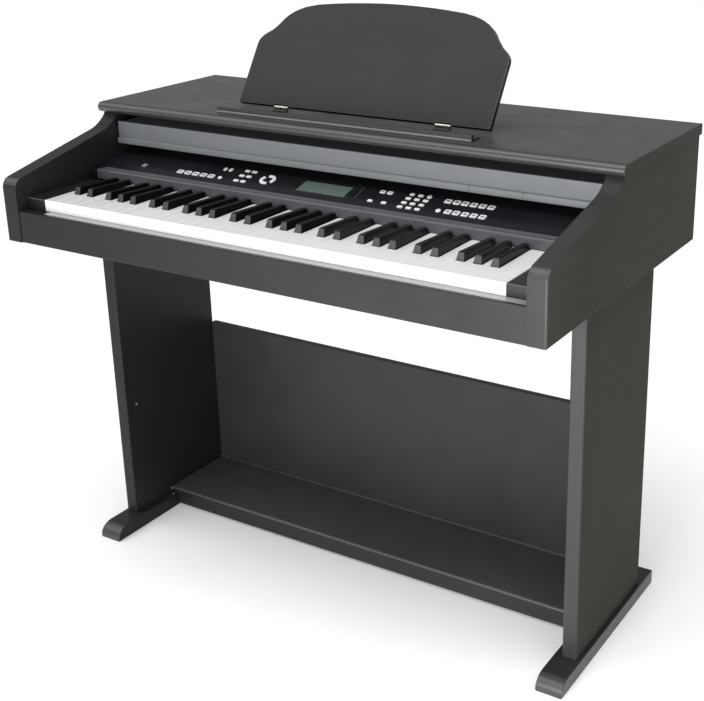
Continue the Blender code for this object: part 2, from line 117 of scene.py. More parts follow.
def remap(nt, src, out, a, b, f0=0.3, f1=0.7):
    m = nt.nodes.new("ShaderNodeMapRange")
    m.inputs["From Min"].default_value = f0
    m.inputs["From Max"].default_value = f1
    m.inputs["To Min"].default_value = a
    m.inputs["To Max"].default_value = b
    link(nt, src, out, m, "Value")
    return m


def bump(nt, bsdf, src, out, strength, dist, prev=None):
    b = nt.nodes.new("ShaderNodeBump")
    b.inputs["Strength"].default_value = strength
    b.inputs["Distance"].default_value = dist
    link(nt, src, out, b, "Height")
    if prev is not None:
        link(nt, prev, "Normal", b, "Normal")
    link(nt, b, "Normal", bsdf, "Normal")
    return b


def tint(c, k):
    return tuple(min(1.0, v * k) for v in c)


def lacquer(name, base, rough=0.42, grain='X', var=0.10, spec=0.20, graze=None, painted_shade=None):
    """Satin lacquer on board: faint grain along one axis, cloudy sheen and orange peel.
    graze is the sheen left at a flat angle, where it falls off. fade is painted shade: it makes the
    lacquer and its specular level a little darker towards one end of the board, standing in for light
    falling off: position, factor there, position where it ends."""
    m, nt, b = nodes_of(name)
    s = {'X': (1.0, 9, 9), 'Y': (9, 1.0, 9), 'Z': (9, 9, 1.0)}[grain]
    g = noise(nt, coords(nt, s), 7.0, 9.0, 0.66, 0.6)
    cloud = noise(nt, coords(nt, (1, 1, 1)), 7.0, 4.0, 0.6, 0.8)
    mix = nt.nodes.new("ShaderNodeMix")
    mix.data_type = 'RGBA'
    mix.blend_type = 'MULTIPLY'
    mix.inputs[0].default_value = 1.0
    rg = ramp(nt, g, "Fac", [(0.28, tint(base, 1 - var)), (0.52, base), (0.76, tint(base, 1 + var))])
    rc = ramp(nt, cloud, "Fac", [(0.28, (0.86, 0.86, 0.87)), (0.72, (1.06, 1.06, 1.05))])
    link(nt, rg, "Color", mix, 6)
    link(nt, rc, "Color", mix, 7)
    link(nt, mix, 2, b, "Base Color")
    link(nt, remap(nt, cloud, "Fac", rough - 0.06, rough + 0.08), "Result", b, "Roughness")
    peel = noise(nt, coords(nt, (1, 1, 1)), 420.0, 2.0)
    b1 = bump(nt, b, g, "Fac", 0.10, 0.0005)
    bump(nt, b, peel, "Fac", 0.06, 0.0002, b1)
    b.inputs["Specular IOR Level"].default_value = spec
    if painted_shade is not None:
        sx = nt.nodes.new("ShaderNodeSeparateXYZ")
        link(nt, coords(nt, (1, 1, 1)), "Vector", sx, "Vector")
        f = remap(nt, sx, "X", painted_shade[1], 1.0, painted_shade[0], painted_shade[2])
        painted_shade_mix = nt.nodes.new("ShaderNodeMix")
        painted_shade_mix.data_type = 'RGBA'
        painted_shade_mix.blend_type = 'MULTIPLY'
        painted_shade_mix.inputs[0].default_value = 1.0
        link(nt, mix, 2, painted_shade_mix, 6)
        link(nt, f, "Result", painted_shade_mix, 7)
        link(nt, painted_shade_mix, 2, b, "Base Color")
        link(nt, remap(nt, sx, "X", spec * painted_shade[1], spec, painted_shade[0], painted_shade[2]), "Result", b,
             "Specular IOR Level")
    if graze is not None:
        lw = nt.nodes.new("ShaderNodeLayerWeight")
        lw.inputs["Blend"].default_value = 0.5
        link(nt, remap(nt, lw, "Facing", spec, graze, 0.30, 0.62), "Result", b,
             "Specular IOR Level")
    return m


def plastic(name, base, rough=0.3, var=0.06, fine=260.0, peel=0.05, coat=0.0, smudge=0.06,
            metal=0.0, spec=0.5, painted_glow=0.0):
    m, nt, b = nodes_of(name)
    n1 = noise(nt, coords(nt, (1, 1, 1)), 14.0, 5.0)
    n2 = noise(nt, coords(nt, (1, 1, 1)), fine, 3.0)
    rc = ramp(nt, n1, "Fac", [(0.3, tint(base, 1 - var)), (0.7, tint(base, 1 + var))])
    link(nt, rc, "Color", b, "Base Color")
    link(nt, remap(nt, n1, "Fac", max(0.02, rough - smudge), rough + smudge), "Result", b,
         "Roughness")
    bump(nt, b, n2, "Fac", peel, 0.0002)
    b.inputs["Metallic"].default_value = metal
    b.inputs["Specular IOR Level"].default_value = spec
    # glow adds a faint emission: painted light on a surface that is no lamp.
    if painted_glow:
        b.inputs["Emission Color"].default_value = (0.9, 0.93, 1.0, 1)
        b.inputs["Emission Strength"].default_value = painted_glow
    if coat:
        b.inputs["Coat Weight"].default_value = coat
        b.inputs["Coat Roughness"].default_value = 0.06
    return m


def brushed(name, base, rough, metal, axis='X', var=0.12):
    m, nt, b = nodes_of(name)
    s = {'X': (1, 90, 90), 'Y': (90, 1, 90), 'Z': (90, 90, 1)}[axis]
    n1 = noise(nt, coords(nt, s), 9.0, 6.0, 0.6)
    n2 = noise(nt, coords(nt, (1, 1, 1)), 6.0, 3.0)
    rc = ramp(nt, n1, "Fac", [(0.3, tint(base, 1 - var)), (0.7, tint(base, 1 + var))])
    link(nt, rc, "Color", b, "Base Color")
    link(nt, remap(nt, n2, "Fac", rough - 0.04, rough + 0.06), "Result", b, "Roughness")
    bump(nt, b, n1, "Fac", 0.08, 0.0002)
    b.inputs["Metallic"].default_value = metal
    return m


def lcd(name):
    m, nt, b = nodes_of(name)
    ck = nt.nodes.new("ShaderNodeTexChecker")
    ck.inputs["Scale"].default_value = 1.0
    ck.inputs["Color1"].default_value = (0.098, 0.137, 0.122, 1)
    ck.inputs["Color2"].default_value = (0.114, 0.153, 0.136, 1)
    link(nt, coords(nt, (900, 900, 900)), "Vector", ck, "Vector")
    cl = noise(nt, coords(nt, (1, 1, 1)), 18.0, 2.0)
    mx = nt.nodes.new("ShaderNodeMix")
    mx.data_type = 'RGBA'
    mx.blend_type = 'MULTIPLY'
    mx.inputs[0].default_value = 0.4
    link(nt, ck, "Color", mx, 6)
    link(nt, ramp(nt, cl, "Fac", [(0.3, (0.82, 0.84, 0.84)), (0.7, (1, 1, 1))]), "Color", mx, 7)
    link(nt, mx, 2, b, "Base Color")
    b.inputs["Roughness"].default_value = 0.35
    b.inputs["Coat Weight"].default_value = 0.6
    b.inputs["Coat Roughness"].default_value = 0.04
    return m


def board(name):
    m, nt, b = nodes_of(name)
    vo = nt.nodes.new("ShaderNodeTexVoronoi")
    vo.inputs["Scale"].default_value = 160.0
    link(nt, coords(nt, (1, 1, 1)), "Vector", vo, "Vector")
    rc = ramp(nt, vo, "Distance", [(0.1, (0.30, 0.26, 0.10)), (0.16, (0.02, 0.11, 0.045)),
                                   (0.6, (0.016, 0.09, 0.036))])
    link(nt, rc, "Color", b, "Base Color")
    b.inputs["Roughness"].default_value = 0.4
    return m


# SD (sides) and FR (fronts) are one charcoal lacquer. FR is painted about half as bright as SD: painted
# shade that offsets the extra light the front lamps give the front faces.
SD = (0.0450, 0.0423, 0.0362)
FR = (0.0215, 0.0213, 0.0222)
M = {
    'charX': lacquer("lacquer_charcoal_x", (0.0500, 0.0498, 0.0525), 0.36, 'X', 0.10, 0.22),
    'modX': lacquer("lacquer_modesty", (0.0350, 0.0346, 0.0370), 0.38, 'X', 0.10, 0.22),
    'topX': lacquer("lacquer_top", (0.0520, 0.0527, 0.0495), 0.36, 'X', 0.10, 0.22),
    'shelfX': lacquer("lacquer_shelf", (0.0700, 0.0700, 0.0740), 0.36, 'X', 0.10, 0.22),
    'noseX': plastic("lacquer_nose", (0.0380, 0.0382, 0.0380), 0.31, 0.06, 150.0, 0.01, 0.0, 0.03,
                     0.0, 0.85),
    'charY': lacquer("lacquer_charcoal_y", SD, 0.40, 'Y', 0.10, 0.25, 0.015),
    'charZ': lacquer("lacquer_charcoal_z", SD, 0.40, 'Z', 0.10, 0.25, 0.015),
    # Darker copies for the faces turned towards the middle (inner faces of arms, legs and feet): painted
    # shade.
    'inY_painted_shade': lacquer("lacquer_inner_painted_shade_y", (0.0180, 0.0179, 0.0195), 0.42, 'Y', 0.10, 0.15, 0.015),
    'inZ_painted_shade': lacquer("lacquer_inner_painted_shade_z", (0.0170, 0.0168, 0.0185), 0.42, 'Z', 0.10, 0.15, 0.015),
    # A darker copy for the feet's top faces: painted shade.
    'footY_painted_shade': lacquer("lacquer_foot_top_painted_shade", (0.0240, 0.0238, 0.0245), 0.34, 'Y', 0.10, 0.20),
    'frontZ': lacquer("lacquer_front_z", FR, 0.38, 'Z', 0.08, 0.30),
    # Front lacquer painted darker towards the left end of each board: painted shade for the light falling
    # off to the left.
    'frontX': lacquer("lacquer_front_x_painted_shade", FR, 0.38, 'X', 0.08, 0.30, None, (-0.45, 0.66, 0.15)),
    # The next two are darker and lighter copies of the front lacquer: painted shade on the left arm and
    # left leg fronts, painted light on the right leg front.
    'frontZ_painted_shade': lacquer("lacquer_front_z_painted_shade", tint(FR, 0.72), 0.38, 'Z', 0.08, 0.21),
    'frontZ_painted_light': lacquer("lacquer_front_z_painted_light", tint(FR, 1.40), 0.38, 'Z', 0.08, 0.42),
    'slope': lacquer("lacquer_slope", (0.0340, 0.0345, 0.0350), 0.38, 'Y', 0.10, 0.20),
    # A darker copy of the slope lacquer for the left arm's top: painted shade.
    'slope_painted_shade': lacquer("lacquer_slope_painted_shade", (0.0215, 0.0217, 0.0220), 0.38, 'Y', 0.10, 0.15),
    # A lighter, glossier copy for rounded edges: painted highlight.
    'edge': lacquer("lacquer_edge_painted_highlight", (0.0520, 0.0515, 0.0535), 0.30, 'Z', 0.10, 0.45),
    # A lighter copy for the shelf's rounded front top edge: painted highlight.
    'softedge_painted_highlight': lacquer("lacquer_soft_edge_painted_highlight", (0.0600, 0.0600, 0.0630), 0.28, 'X', 0.10, 0.60),
    # Lighter copies for the feet's outer sides and noses: painted light.
    'footside_painted_light': lacquer("lacquer_foot_side_painted_light", (0.0500, 0.0490, 0.0475), 0.32, 'Y', 0.12, 0.35),
    'footnose_painted_light': lacquer("lacquer_foot_nose_painted_light", (0.0380, 0.0376, 0.0390), 0.32, 'X', 0.10, 0.60),
    # A pale strip on the ledge's front step: painted highlight.
    'ledge': lacquer("ledge_painted_highlight_strip", (0.1750, 0.1780, 0.1800), 0.28, 'X', 0.08, 0.50),
    'rest': lacquer("lacquer_rest", (0.0335, 0.0335, 0.0318), 0.45, 'X', 0.06, 0.16),
    # Near-black copy for the music rest's side faces, the ledge's end face and the top board's groove:
    # painted shade.
    'dark_painted_shade': lacquer("lacquer_dark_painted_shade", (0.0110, 0.0110, 0.0110), 0.45, 'X', 0.06, 0.10),
    # A lighter copy for the rounded rims of the music rest and the cheek blocks' top front edges: painted
    # highlight.
    'rim_painted_highlight': lacquer("lacquer_rim_painted_highlight", (0.1000, 0.1000, 0.0980), 0.30, 'X', 0.06, 0.40),
    # The cover lacquer also glows faintly: painted light on a part that is no lamp.
    'inner': plastic("cover_lacquer_painted_glow", (0.070, 0.070, 0.074), 0.42, 0.08, 260.0, 0.05, 0.0, 0.06,
                     0.0, 0.3, 0.010),
    'silver': plastic("silver_grey_lacquer", (0.172, 0.181, 0.192), 0.34, 0.04, 300.0, 0.03, 0.0,
                      0.05, 0.10),
    'gloss': plastic("panel_gloss_black", (0.0120, 0.0118, 0.0150), 0.18, 0.20, 60.0, 0.01, 0.0,
                     0.04, 0.0, 0.12),
    'lip': plastic("panel_grey_lip", (0.090, 0.092, 0.104), 0.30, 0.06),
    'cheek': plastic("cheek_black", (0.018, 0.018, 0.021), 0.26, 0.12),
    'white': plastic("key_white", (0.84, 0.84, 0.83), 0.16, 0.02, 300.0, 0.012, 0.35, 0.04),
    'black': plastic("key_black", (0.0048, 0.0048, 0.0062), 0.34, 0.2, 420.0, 0.06, 0.0, 0.05,
                     0.0, 0.22),
    # A darker copy of the key black for the side faces of the black keys left of x 0.09: painted shade.
    'black_side_painted_shade': plastic("key_black_side", (0.0025, 0.0025, 0.0035), 0.45, 0.2, 420.0, 0.06, 0.0,
                        0.05, 0.0, 0.05),
    # Black keys' front faces painted a light grey-green: painted reflection of the front light.
    'black_front_painted_reflection': plastic("key_black_front", (0.052, 0.056, 0.056), 0.36, 0.1, 420.0, 0.06),
    'button': plastic("button_pale", (0.80, 0.80, 0.83), 0.24, 0.05, 500.0, 0.03, 0.2, 0.05),
    'powercap': plastic("button_grey", (0.24, 0.24, 0.25), 0.3, 0.05, 500.0, 0.03),
    'cap_inset_grey': plastic("button_inset_grey", (0.36, 0.36, 0.39), 0.35, 0.08, 500.0, 0.03),
    'carrier': plastic("button_carrier_rubber", (0.020, 0.020, 0.022), 0.6, 0.2),
    'strip': plastic("rail_strip", (0.30, 0.30, 0.31), 0.20, 0.04),
    'lcd': lcd("display_green_grey"),
    'margin': plastic("display_margin", (0.010, 0.022, 0.018), 0.20, 0.3, 500.0, 0.01, 0.0,
                      0.05, 0.0, 0.3),
    'bezel': plastic("display_bezel", (0.014, 0.016, 0.016), 0.25, 0.1),
    'line': plastic("panel_line", (0.13, 0.14, 0.14), 0.4, 0.05),
    'cap': plastic("fitting_cap_grey", (0.20, 0.20, 0.21), 0.4, 0.05),
    'brass': brushed("hinge_pale_brass", (0.93, 0.90, 0.78), 0.32, 0.75),
    # Hinge leaves painted dark: painted shade on the brass.
    'leaf': brushed("hinge_leaf_painted_shade", (0.060, 0.060, 0.045), 0.50, 0.2),
    'steel': brushed("screw_steel", (0.55, 0.55, 0.56), 0.35, 1.0),
    'hardboard': plastic("back_hardboard", (0.036, 0.030, 0.026), 0.72, 0.25, 190.0, 0.35),
    'chipboard': plastic("bottom_board_dark", (0.030, 0.029, 0.028), 0.66, 0.25, 150.0, 0.3),
    'frame': plastic("key_frame_black", (0.022, 0.022, 0.022), 0.5, 0.15),
    'cone': plastic("speaker_cone", (0.020, 0.020, 0.021), 0.75, 0.3, 240.0, 0.5),
    'pcb': board("circuit_green"),
    'felt': plastic("felt_dark", (0.012, 0.012, 0.013), 0.95, 0.3, 900.0, 0.6),
}


# ------------------------------------------------------------------ mesh helpers
def put(name, me, mat, body=None, node=None, extra=()):
    ob = bpy.data.objects.new(name, me)
    coll.objects.link(ob)
    if len(me.materials) == 0 and mat is not None:
        me.materials.append(M[mat])
        for e in extra:
            me.materials.append(M[e])
    wn = ob.modifiers.new("weighted", 'WEIGHTED_NORMAL')
    wn.keep_sharp = True
    wn.weight = 100
    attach(ob, body or BODY[node])
    if node:
        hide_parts(node)
    return ob


def finish_mesh(bm, name, smooth_deg=35.0):
    bmesh.ops.recalc_face_normals(bm, faces=bm.faces)
    me = bpy.data.meshes.new(name)
    bm.to_mesh(me)
    bm.free()
    for p in me.polygons:
        p.use_smooth = True
    me.set_sharp_from_angle(angle=math.radians(smooth_deg))
    return me


def sharp_edges(bm, deg=28.0):
    lim = math.radians(deg)
    out = []
    for e in bm.edges:
        if len(e.link_faces) == 2 and e.calc_face_angle(0.0) > lim:
            out.append(e)
    return out


def bevel(bm, width, seg=2, deg=28.0, keep=None):
    es = sharp_edges(bm, deg)
    if keep is not None:
        es = [e for e in es if keep(e)]
    bmesh.ops.bevel(bm, geom=es, offset=width, offset_type='OFFSET', segments=seg, profile=0.5,
                    affect='EDGES', clamp_overlap=True)


def poly_bm(pts, d0, d1):
    """Closed outline in (a, b) raised from d0 to d1."""
    bm = bmesh.new()
    vs = [bm.verts.new((a, b, d0)) for a, b in pts]
    f = bm.faces.new(vs)
    r = bmesh.ops.extrude_face_region(bm, geom=[f])
    up = [v for v in r['geom'] if isinstance(v, bmesh.types.BMVert)]
    bmesh.ops.translate(bm, verts=up, vec=(0, 0, d1 - d0))
    bmesh.ops.recalc_face_normals(bm, faces=bm.faces)
    return bm


SIDE = Matrix(((0, 0, 1, 0), (1, 0, 0, 0), (0, 1, 0, 0), (0, 0, 0, 1)))


def side_bm(pts, x0, x1):
    bm = poly_bm([(y - YC, z) for y, z in pts], x0, x1)
    bmesh.ops.transform(bm, matrix=SIDE, verts=bm.verts)
    return bm


def box_bm(x0, x1, y0, y1, z0, z1):
    bm = bmesh.new()
    m = Matrix.Translation(((x0 + x1) / 2, (y0 + y1) / 2, (z0 + z1) / 2)) @ Matrix.Diagonal(
        (x1 - x0, y1 - y0, z1 - z0, 1.0))
    bmesh.ops.create_cube(bm, size=1.0, matrix=m)
    return bm


def merge(bms, name=None):
    out = bmesh.new()
    for b in bms:
        tmp = bpy.data.meshes.new("tmp")
        b.to_mesh(tmp)
        b.free()
        out.from_mesh(tmp)
        bpy.data.meshes.remove(tmp)
    return out


def refine(node, width, mat, seg=3, deg=28.0, name=None, keep=None):
    """A finished copy of a CAD node: flat faces rejoined, edges rounded off inside its own box."""
    bm = bmesh.new()
    bm.from_mesh(NODES[node].data)
    bmesh.ops.remove_doubles(bm, verts=bm.verts, dist=0.00001)
    bmesh.ops.dissolve_limit(bm, angle_limit=math.radians(0.6), verts=bm.verts, edges=bm.edges)
    bevel(bm, width, seg, deg, keep)
    return put(name or node + "_look", finish_mesh(bm, node), mat, node=node)


def boolean_mesh(me, cut, op='DIFFERENCE'):
    a = bpy.data.objects.new("tmp_a", me)
    b = bpy.data.objects.new("tmp_b", cut)
    scene.collection.objects.link(a)
    scene.collection.objects.link(b)
    md = a.modifiers.new("b", 'BOOLEAN')
    md.operation, md.solver, md.object = op, 'EXACT', b
    dg = bpy.context.evaluated_depsgraph_get()
    out = bpy.data.meshes.new_from_object(a.evaluated_get(dg))
    for o in (a, b):
        bpy.data.objects.remove(o, do_unlink=True)
    return out


def lathe_bm(prof, steps, loc=(0, 0, 0), rot=None):
    bm = bmesh.new()
    vs = [bm.verts.new((r, 0, z)) for r, z in prof]
    for a, b in zip(vs, vs[1:]):
        bm.edges.new((a, b))
    bmesh.ops.spin(bm, geom=bm.verts[:] + bm.edges[:], cent=(0, 0, 0), axis=(0, 0, 1),
                   angle=2 * math.pi, steps=steps, use_duplicate=False)
    bmesh.ops.remove_doubles(bm, verts=bm.verts, dist=0.000005)
    bmesh.ops.dissolve_degenerate(bm, dist=0.000001, edges=bm.edges)
    m = Matrix.Translation(loc)
    if rot is not None:
        m = m @ rot
    bmesh.ops.transform(bm, matrix=m, verts=bm.verts)
    bmesh.ops.recalc_face_normals(bm, faces=bm.faces)
    return bm


# ------------------------------------------------------------------ boards
def by_normal(ob, mats, pick):
    me = ob.data
    me.materials.clear()
    for m in mats:
        me.materials.append(M[m])
    for p in me.polygons:
        p.material_index = pick(p)


def board_face(side):
    """0 side, 1 front, 2 face towards the middle (darker copy, painted shade), 3 rounded edge (lighter
    copy, painted highlight), 4 top.
    """
    def pick(p):
        n = p.normal
        # Rounded edges picked here get the lighter edge lacquer: a painted highlight.
        if p.center.y < -0.1 and n.y < -0.15 and 0.2 < abs(n.x) < 0.97 and abs(n.z) < 0.35:
            return 3
        if p.center.y < -0.2495 and n.z > 0.25 and n.y < -0.25 and p.center.z > 0.1:
            return 3
        if n.y < -0.6:
            return 1
        if n.x * side < -0.7:
            return 2
        return 4 if n.z > 0.8 else 0
    return pick


def arm_face(side):
    plain = board_face(side)

    def pick(p):
        n = p.normal
        return 5 if n.z > 0.35 and abs(n.x) < 0.8 and p.center.y > -0.262 else plain(p)
    return pick


def foot_face(side):
    plain = board_face(side)

    def pick(p):
        n = p.normal
        # The feet's lower front edge gets the lighter edge lacquer: painted highlight.
        if n.z < -0.25 and n.y < -0.25:
            return 3
        return 1 if n.y < -0.25 and abs(n.x) < 0.2 else plain(p)
    return pick


def free_edge(x_in):
    """Edges to round: all but the upright front edge that meets the front rail."""
    def keep(e):
        a, b = (v.co for v in e.verts)
        return not (abs(a.x - x_in) < 0.0004 and abs(b.x - x_in) < 0.0004
                    and abs(a.z - b.z) > abs(a.y - b.y) and min(a.z, b.z) < 0.64)
    return keep


for s, k in (("left", -1), ("right", 1)):
    ob = refine("side_panel_" + s, 0.0022, 'charY', keep=free_edge(k * 0.4636))
    by_normal(ob, ('charY', 'frontZ_painted_shade' if k < 0 else 'frontZ', 'inY_painted_shade', 'edge', 'charY',
                   'slope_painted_shade' if k < 0 else 'slope'), arm_face(k))
    by_normal(refine("leg_" + s, 0.0012, 'charZ', deg=60),
              ('charZ', 'frontZ_painted_shade' if k < 0 else 'frontZ_painted_light', 'inZ_painted_shade', 'edge', 'charZ'), board_face(k))
    by_normal(refine("foot_" + s, 0.0012, 'charY'),
              ('footside_painted_light', 'footnose_painted_light', 'inY_painted_shade', 'edge', 'footY_painted_shade'), foot_face(k))
refine("front_rail", 0.0012, 'frontX',
       keep=lambda e: abs(e.verts[0].co.x - e.verts[1].co.x) > 0.01)
# The shelf's rounded front top edge is painted lighter: painted highlight.
by_normal(refine("shelf_board", 0.0048, 'shelfX', seg=6), ('shelfX', 'frontX', 'softedge_painted_highlight'),
          lambda p: 2 if p.normal.y < -0.3 and p.normal.z > 0.3 else (1 if p.normal.y < -0.6 else 0))
refine("modesty_panel", 0.0010, 'modX')
LEDGE_STEP = 0.2608 - YC
# The ledge's front step is painted pale (painted highlight) and its end face near-black (painted shade).
by_normal(refine("music_ledge", 0.0003, 'charX', seg=2), ('charX', 'ledge', 'dark_painted_shade'),
          lambda p: 2 if p.normal.x > 0.7 else
          (1 if p.center.y < LEDGE_STEP and p.center.z < 0.8098 else 0))

# top board: flat top, fine groove, half-round nose
TOP_X, TOP_Y0, TOP_Z0, TOP_Z1, BODY_Y1 = 0.4965, 0.2300, 0.7889, 0.8064, 0.5480
R = (TOP_Z1 - TOP_Z0) / 2
nose = [(TOP_Y0 + R - R * math.cos(math.radians(t)), TOP_Z0 + R - R * math.sin(math.radians(t)))
        for t in range(90, -86, -7)]
bm = side_bm([(BODY_Y1, TOP_Z1), (TOP_Y0 + R + 0.0016, TOP_Z1), (TOP_Y0 + R + 0.0012, TOP_Z1 - 0.0004),
              (TOP_Y0 + R + 0.0003, TOP_Z1 - 0.0004)] + nose[::-1] + [(BODY_Y1, TOP_Z0)],
             -TOP_X, TOP_X)
bevel(bm, 0.0009, 2, 60)
GROOVE = TOP_Y0 + R + 0.0018 - YC
# The groove faces are painted near-black: painted shade in the crease.
by_normal(put("top_board_look", finish_mesh(bm, "top_board"), 'topX', node="top_board"),
          ('topX', 'noseX', 'dark_painted_shade', 'charY'),
          lambda p: 3 if abs(p.normal.x) > 0.7 else
          (0 if p.center.y > GROOVE else (2 if p.center.y > TOP_Y0 + R - YC else 1)))

# music rest
REST_LEAN, REST_Y, REST_Z, REST_T = math.radians(33.0), 0.3150, 0.8155, 0.0100
half = [(0.2450, 0.0), (0.2452, 0.060), (0.2452, 0.108), (0.2442, 0.1150), (0.2410, 0.1210),
        (0.2360, 0.1265), (0.2295, 0.1312), (0.2225, 0.1360), (0.2165, 0.1418),
        (0.2110, 0.1490), (0.2050, 0.1575), (0.1980, 0.1650), (0.1900, 0.1712),
        (0.1800, 0.1768), (0.1700, 0.1810), (0.1590, 0.1843), (0.1410, 0.1880),
        (0.1110, 0.1912), (0.0820, 0.1936), (0.0520, 0.1952), (0.0260, 0.1961)]
NX0, NX1, ND = 0.1425, 0.1725, 0.0026
rest_pts = [(-NX0, 0.0), (-NX0, ND), (-NX1, ND), (-NX1, 0.0)]
right_half = [(0.2410, 0.0), (0.2412, 0.060), (0.2412, 0.1118), (0.2402, 0.1180),
              (0.2370, 0.1235), (0.2325, 0.1285), (0.2270, 0.1330), (0.2213, 0.1374)] + half[9:]
rest_pts += [(-x, h) for x, h in half] + [(0.0, 0.1965)] + [(x, h) for x, h in right_half[::-1]]
rest_pts += [(NX1, 0.0), (NX1, ND), (NX0, ND), (NX0, 0.0)]
bm = poly_bm(rest_pts, 0.0, REST_T)
bevel(bm, 0.0007, 2, 50, lambda e: abs(e.verts[0].co.z - e.verts[1].co.z) < 0.001)
cl, sl = math.cos(REST_LEAN), math.sin(REST_LEAN)
bmesh.ops.transform(bm, matrix=Matrix(((1, 0, 0, 0), (0, sl, -cl, REST_Y - YC + cl * REST_T),
                                       (0, cl, sl, REST_Z - sl * REST_T), (0, 0, 0, 1))),
                    verts=bm.verts)
FACE = Vector((0, -cl, sl))
# The rest's side faces are painted near-black (painted shade), and its rounded rim lighter (painted
# highlight).
by_normal(put("music_rest_look", finish_mesh(bm, "music_rest"), 'rest', node="music_rest"),
          ('rest', 'dark_painted_shade', 'rim_painted_highlight'),
          lambda p: 0 if abs(p.normal.dot(FACE)) > 0.97 else
          (1 if p.normal.dot(FACE) < 0.25 else 2))
refine("key_cover", 0.0010, 'inner')
refine("cover_carriage", 0.0010, 'inner')
refine("back_panel", 0.0004, 'hardboard', seg=1)
refine("bottom_board", 0.0006, 'chipboard', seg=1)
refine("key_frame", 0.0006, 'frame', seg=1)
for s in ("left", "right"):
    refine("speaker_" + s, 0.0004, 'cone', seg=1)
refine("power_inlet", 0.0006, 'frame')
refine("panel_circuit_board", 0.0002, 'pcb', seg=1)


for s in ("left", "right"):
    # Cheek blocks: front faces in the front lacquer, top front edge in the lighter rim lacquer (painted
    # highlight).
    ob = refine("cheek_block_" + s, 0.0010, 'cheek')
    by_normal(ob, ('cheek', 'frontX', 'rim_painted_highlight'),
              lambda p: 2 if p.normal.y < -0.25 and p.normal.z > 0.25 else
              (1 if p.normal.y < -0.7 else 0))
    # The hinge below the barrel gets the dark leaf colour: painted shade.
    ob = refine("rest_hinge_" + s, 0.0003, 'brass', seg=2)
    by_normal(ob, ('brass', 'leaf'), lambda p: 1 if p.center.z < 0.8122 else 0)

# cover front board: plain face, a fine groove, a rounded grip lip under it
fas = side_bm([(0.2480, 0.7357), (0.2480, 0.7740), (0.2400, 0.7740), (0.2400, 0.7476),
               (0.2406, 0.7474), (0.2406, 0.7469), (0.2390, 0.7465), (0.2372, 0.7459),
               (0.2364, 0.7447), (0.2362, 0.7370), (0.2366, 0.7361), (0.2374, 0.7357)],
              -0.4608, 0.4608)
bevel(fas, 0.0003, 2, 50)
put("cover_front_look", finish_mesh(fas, "cover_front"), 'silver', node="cover_front_board")
for k, x in enumerate(LIP_JOINTS):
    bm = box_bm(x - 0.0003, x + 0.0003, 0.23612 - YC, 0.2375 - YC, 0.7362, 0.7460)
    put("cover_lip_joint_%d" % k, finish_mesh(bm, "lip_joint"), 'cheek', body="key_cover")

# bead between the shelf and the modesty panel
bm = side_bm([(0.4303, 0.0392), (0.4303, 0.0428), (0.4288, 0.0424), (0.4274, 0.0414),
              (0.4264, 0.0400), (0.4260, 0.0392)], -0.4464, 0.4464)
put("shelf_bead", finish_mesh(bm, "shelf_bead"), 'charX', body="cabinet")

# ------------------------------------------------------------------ keys
KEY_PITCH = 0.0235
OCTAVE = 7 * KEY_PITCH
KEY_X0 = -18 * KEY_PITCH
KEY_GAP = 0.00015
KEY_Y0, KEY_Z1, KEY_Z0, TAIL_Y = 0.0229, 0.6876, 0.6690, 0.2620
BLACK_C = (0.0212, 0.0493, 0.0906, 0.1175, 0.1444)
BLACK_W, BLACK_TOP, BLACK_Y0, BLACK_Z1, BLACK_CUT = 0.0137, 0.0097, 0.0737, 0.6993, 0.0078
CUTS = (None, 0, 1, None, 2, 3, 4)


def white_bm(octave, i, top_c=False):
    x0 = KEY_X0 + octave * OCTAVE
    a, b = x0 + i * KEY_PITCH + KEY_GAP, x0 + (i + 1) * KEY_PITCH - KEY_GAP
    left, right = a, b
    if CUTS[i] is not None and not top_c:
        left = x0 + BLACK_C[CUTS[i]] + BLACK_CUT
    nxt = CUTS[i + 1] if i < 6 else None
    if nxt is not None and not top_c:
        right = x0 + BLACK_C[nxt] - BLACK_CUT
    y1 = BLACK_Y0 - 0.0012 - YC
    y0, y2 = KEY_Y0 - YC, TAIL_Y - YC
    pts = [(a, y0), (b, y0)]
    if right < b:
        pts += [(b, y1), (right, y1)]
    pts += [(right, y2), (left, y2)]
    if left > a:
        pts += [(left, y1), (a, y1)]
    bm = poly_bm(pts, KEY_Z0, KEY_Z1)
    top = KEY_Z1 - 0.0001
    bevel(bm, 0.0008, 3, 28.0, lambda e: all(v.co.z > top for v in e.verts))
    return bm


def black_bm(octave, j):
    c = KEY_X0 + octave * OCTAVE + BLACK_C[j]
    pts = [(BLACK_Y0, 0.6700), (TAIL_Y, 0.6700), (TAIL_Y, 0.6855), (0.1655, 0.6855),
           (0.1651, 0.6945), (0.1640, 0.6957), (0.0800, BLACK_Z1), (0.0772, 0.6984),
           (BLACK_Y0, 0.6880)]
    bm = side_bm(pts, c - BLACK_W / 2, c + BLACK_W / 2)
    for v in bm.verts:
        if v.co.z > 0.6885:
            v.co.x = c + (v.co.x - c) * BLACK_TOP / BLACK_W
    bevel(bm, 0.0009, 3, 20.0, lambda e: max(v.co.z for v in e.verts) > 0.6885)
    return bm


MID = 2
WN = "cdefgab"
BN = ("cs", "ds", "fs", "gs", "as")


def put_black(n, bm):
    ob = put(n + "_look", finish_mesh(bm, n), 'black', node=n)
    # Front faces get the light grey-green (painted reflection), and side faces left of x 0.09 the darker
    # black (painted shade).
    by_normal(ob, ('black', 'black_front_painted_reflection', 'black_side_painted_shade'),
              lambda p: 1 if p.normal.y < -0.6 and p.center.z > 0.68 else
              (2 if abs(p.normal.x) > 0.6 and p.center.x < 0.09 else 0))


